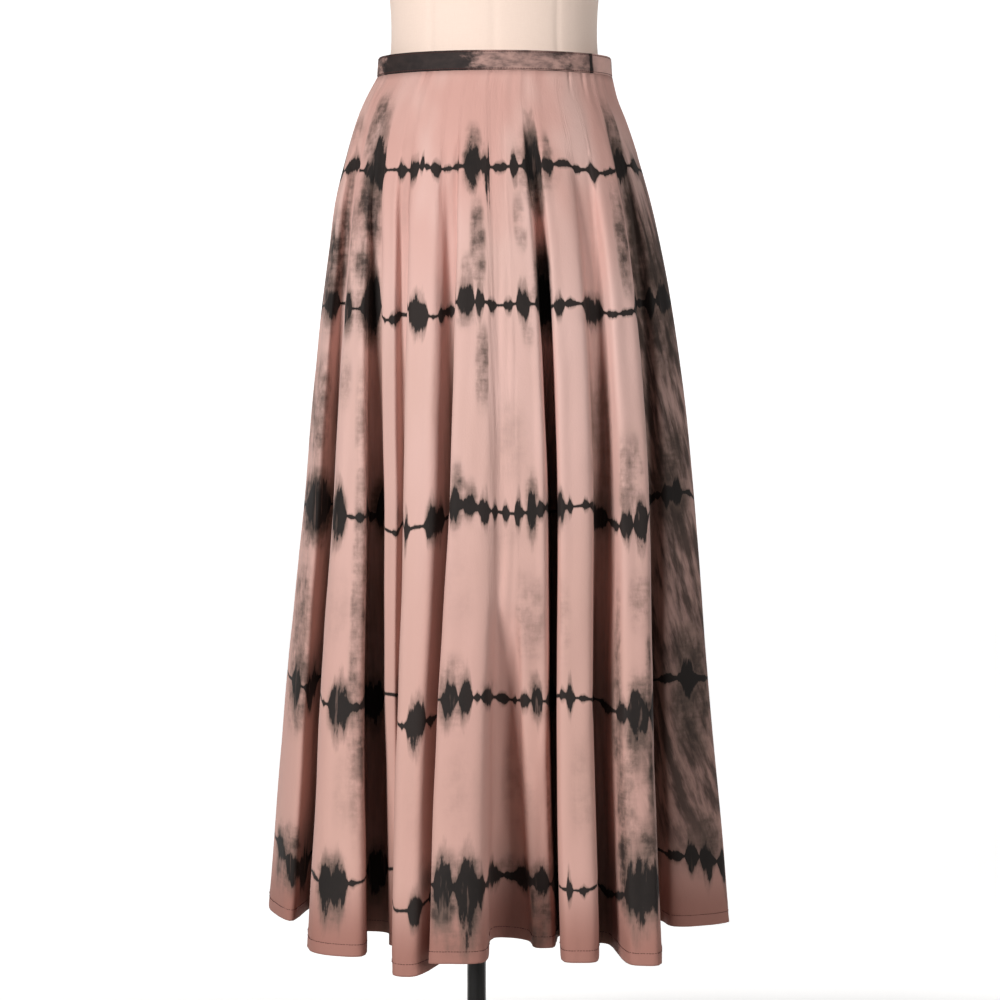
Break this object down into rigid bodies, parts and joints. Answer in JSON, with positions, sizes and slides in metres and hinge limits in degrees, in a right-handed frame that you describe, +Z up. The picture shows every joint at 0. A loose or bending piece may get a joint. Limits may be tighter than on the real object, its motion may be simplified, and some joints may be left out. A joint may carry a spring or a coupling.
{
  "type": "maxi skirt on dress form",
  "caption": "Long gathered skirt with a narrow waistband and deep vertical folds, hung on a limbless dress form on a pole and round base.",
  "frame": {"origin": "on the base's underside, below the skirt's centre line", "axes": "+Z up, the skirt's front faces -Y, and the wearer's left side is +X"},
  "size_m": [0.495, 0.435, 1.5523],
  "materials": {
    "skirt_cloth": "matte",
    "band_cloth": "matte",
    "form_linen": "matte",
    "form_wood": "satin",
    "stand_enamel": "satin",
    "button_shell": "gloss"
  },
  "bodies": {
    "root": {"front_panel": "skirt_cloth", "back_panel_left": "skirt_cloth", "back_panel_right": "skirt_cloth", "back_placket": "skirt_cloth", "waistband": "band_cloth", "waistband_button": "button_shell", "form_torso": "form_linen", "form_foot_plate": "form_wood", "form_neck_cap": "form_wood", "pole": "stand_enamel", "pole_collar": "stand_enamel", "base_hub": "stand_enamel", "base_plate": "stand_enamel"}
  },
  "joints": []
}
